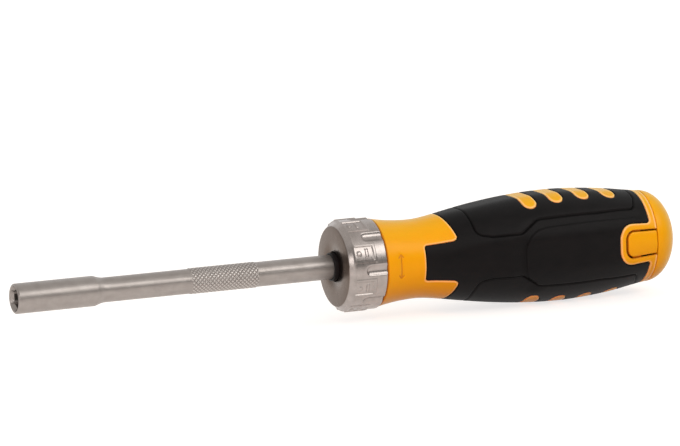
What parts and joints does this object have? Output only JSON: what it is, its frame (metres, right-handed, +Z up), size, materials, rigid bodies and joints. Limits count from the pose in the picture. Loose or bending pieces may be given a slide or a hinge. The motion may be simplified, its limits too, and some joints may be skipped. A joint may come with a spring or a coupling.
{
  "type": "ratcheting screwdriver",
  "caption": "Ratcheting screwdriver with a hex bit socket on a round steel shaft, a three-way selector collar, a rubber-covered handle and a sliding bit magazine in its end.",
  "frame": {"origin": "centre of the mouth of the hex bit socket", "axes": "+X along the tool's axis from the bit socket to the end cap, +Y to the side with one latch tab, +Z up"},
  "size_m": [0.235, 0.0362, 0.0368],
  "materials": {
    "shank_steel": "satin nickel over turned steel, fine drawn grain",
    "satin_nickel": "die cast, satin nickel plate",
    "cast_housing": "plain sintered steel",
    "dark_steel": "hardened, oiled",
    "spring_steel": "bright drawn wire and ground pins",
    "screw_steel": "zinc plated",
    "bit_steel": "satin hardened tool steel",
    "bronze": "sintered bearing bronze",
    "yellow_plastic": "glossy moulded plastic",
    "black_rubber": "soft matt overmould",
    "seal_rubber": "smooth",
    "black_nylon": "moulded"
  },
  "bodies": {
    "handle": {"ratchet_housing": "cast_housing", "housing_cover": "cast_housing", "cover_screws": "screw_steel", "front_bush": "black_nylon", "rear_bush": "bronze", "pawl_pins": "spring_steel", "pawl_spring_forward": "spring_steel", "pawl_spring_reverse": "spring_steel", "detent_ball": "spring_steel", "detent_spring": "spring_steel", "thrust_ball": "spring_steel", "thrust_plug": "dark_steel", "handle_core": "yellow_plastic", "rubber_grip": "black_rubber"},
    "shank": {"bit_holder_shank": "shank_steel", "socket_magnet": "dark_steel", "bit_retaining_ring": "spring_steel", "ratchet_gear": "dark_steel", "spindle_clip": "spring_steel"},
    "selector": {"selector_collar": "satin_nickel", "collar_retaining_ring": "spring_steel"},
    "forward_pawl": {"pawl_forward": "dark_steel"},
    "reverse_pawl": {"pawl_reverse": "dark_steel"},
    "magazine": {"end_cap": "yellow_plastic", "bit_carrier": "black_nylon", "carrier_screw": "screw_steel", "cap_seal_ring": "seal_rubber", "latch_pins": "spring_steel", "bit_cross_small": "bit_steel", "bit_cross_large": "bit_steel", "bit_slotted_small": "bit_steel", "bit_slotted_large": "bit_steel", "bit_star": "bit_steel", "bit_hex": "bit_steel", "latch_spring_left": "spring_steel", "latch_spring_right": "spring_steel"},
    "left_latch": {"latch_tab_left": "yellow_plastic"},
    "right_latch": {"latch_tab_right": "yellow_plastic"}
  },
  "joints": [
    {"name": "shank_spin", "type": "hinge", "parent": "handle", "child": "shank", "pos_m": [0.11955, 0, 0], "axis": [1, 0, 0], "continuous": true},
    {"name": "selector_turn", "type": "hinge", "parent": "handle", "child": "selector", "pos_m": [0.11955, 0, 0], "axis": [1, 0, 0], "range_deg": [-22.5, 22.5]},
    {"name": "forward_pawl_swing", "type": "hinge", "parent": "handle", "child": "forward_pawl", "pos_m": [0.11955, -0.00788, 0.00549], "axis": [1, 0, 0], "range_deg": [-6, 6]},
    {"name": "reverse_pawl_swing", "type": "hinge", "parent": "handle", "child": "reverse_pawl", "pos_m": [0.11955, 0.00788, 0.00549], "axis": [1, 0, 0], "range_deg": [-6, 6]},
    {"name": "magazine_slide", "type": "slide", "parent": "handle", "child": "magazine", "axis": [1, 0, 0], "range_m": [0, 0.036]},
    {"name": "left_latch_press", "type": "hinge", "parent": "magazine", "child": "left_latch", "pos_m": [0.2264, -0.0108, 0], "axis": [0, 0, -1], "range_deg": [0, 4.5], "stiffness_Nm_per_rad": 0.3, "springref_deg": -5.73, "deforming": ["latch_spring_left"]},
    {"name": "right_latch_press", "type": "hinge", "parent": "magazine", "child": "right_latch", "pos_m": [0.2264, 0.0108, 0], "axis": [0, 0, 1], "range_deg": [0, 4.5], "stiffness_Nm_per_rad": 0.3, "springref_deg": -5.73, "deforming": ["latch_spring_right"]}
  ],
  "couplings": [
    {"joint": "forward_pawl_swing", "follows": "selector_turn", "ratio": 0.2666},
    {"joint": "reverse_pawl_swing", "follows": "selector_turn", "ratio": 0.2666}
  ]
}
